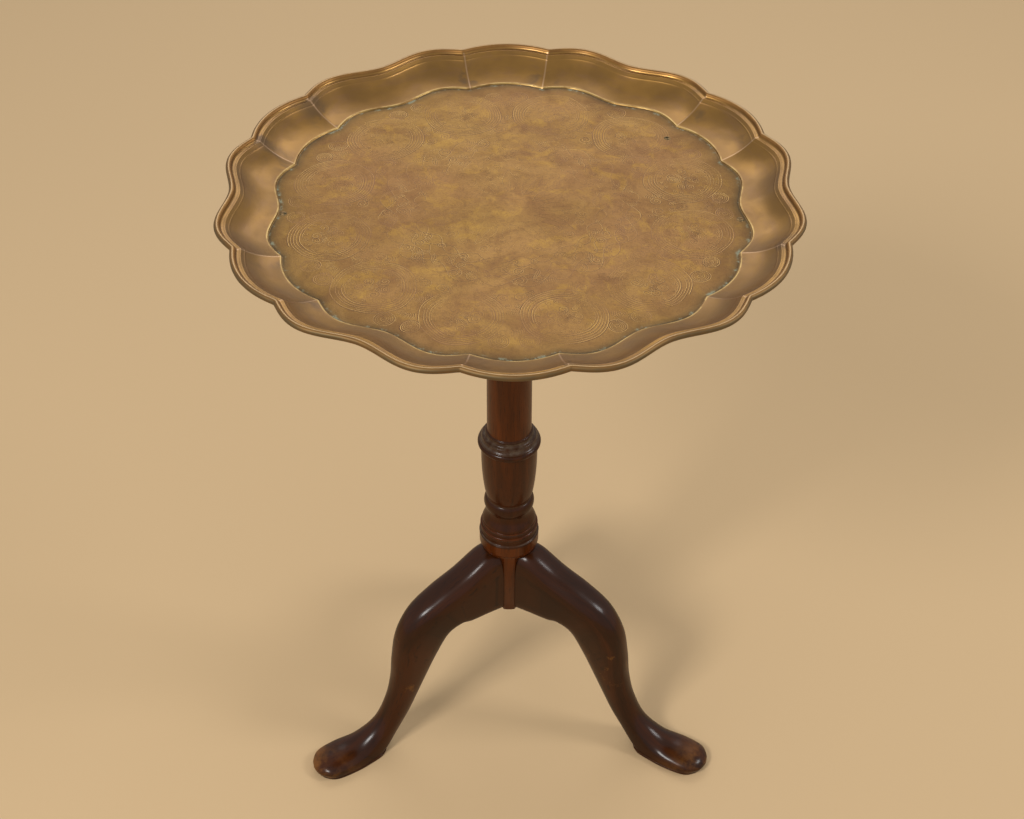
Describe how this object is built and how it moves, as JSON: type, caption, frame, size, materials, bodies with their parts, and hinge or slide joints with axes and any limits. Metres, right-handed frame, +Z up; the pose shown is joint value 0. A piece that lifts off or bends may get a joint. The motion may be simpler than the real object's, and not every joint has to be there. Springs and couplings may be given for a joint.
{
  "type": "tilt-top tray table",
  "caption": "Round pie-crust brass tray on a tilting board, carried by a turned mahogany pillar with three cabriole legs and pad feet.",
  "frame": {"origin": "on the ground, under the pillar's axis and the middle of the tray", "axes": "+Z up along the pillar; -Y is the front, towards which the tray faces when it is tipped up; +X to the right seen from the front; one leg points along +Y"},
  "size_m": [0.5182, 0.5298, 0.69],
  "materials": {
    "tray_brass": "aged engraved sheet brass, brown-gold patina, satin",
    "mahogany": "dark red-brown french polish, worn glossy",
    "secondary_mahogany": "plain mahogany, thinly stained and waxed",
    "fitting_brass": "dull yellow brass",
    "steel_screws": "dull oiled steel",
    "iron": "dark rolled iron strip"
  },
  "bodies": {
    "root": {"column": "mahogany", "keeper_plate": "fitting_brass", "keeper_screw_left": "fitting_brass", "keeper_screw_right": "fitting_brass", "leg_back": "mahogany", "leg_left": "mahogany", "leg_right": "mahogany", "pivot_block": "secondary_mahogany", "pivot_pin_left": "fitting_brass", "pivot_pin_right": "fitting_brass", "spider_plate": "iron", "spider_screw_back": "steel_screws", "spider_screw_hub": "steel_screws", "spider_screw_left": "steel_screws", "spider_screw_right": "steel_screws", "tenon_wedge": "secondary_mahogany"},
    "top": {"bearer_left": "secondary_mahogany", "bearer_right": "secondary_mahogany", "bearer_screw_left_back": "steel_screws", "bearer_screw_left_front": "steel_screws", "bearer_screw_left_middle": "steel_screws", "bearer_screw_right_back": "steel_screws", "bearer_screw_right_front": "steel_screws", "bearer_screw_right_middle": "steel_screws", "brass_tray": "tray_brass", "catch_plate": "fitting_brass", "catch_screw_front_left": "fitting_brass", "catch_screw_front_right": "fitting_brass", "catch_screw_rear_left": "fitting_brass", "catch_screw_rear_right": "fitting_brass", "tray_backing_board": "secondary_mahogany", "tray_screw_back": "fitting_brass", "tray_screw_left": "fitting_brass", "tray_screw_right": "fitting_brass"},
    "catch_bolt": {"catch_bolt": "fitting_brass", "catch_knob": "fitting_brass"}
  },
  "joints": [
    {"name": "top_tilt", "type": "hinge", "parent": "root", "child": "top", "pos_m": [0, -0.042, 0.6417], "axis": [1, 0, 0], "range_deg": [0, 90]},
    {"name": "catch_bolt_slide", "type": "slide", "parent": "top", "child": "catch_bolt", "axis": [0, -1, 0], "range_m": [0, 0.012]}
  ]
}
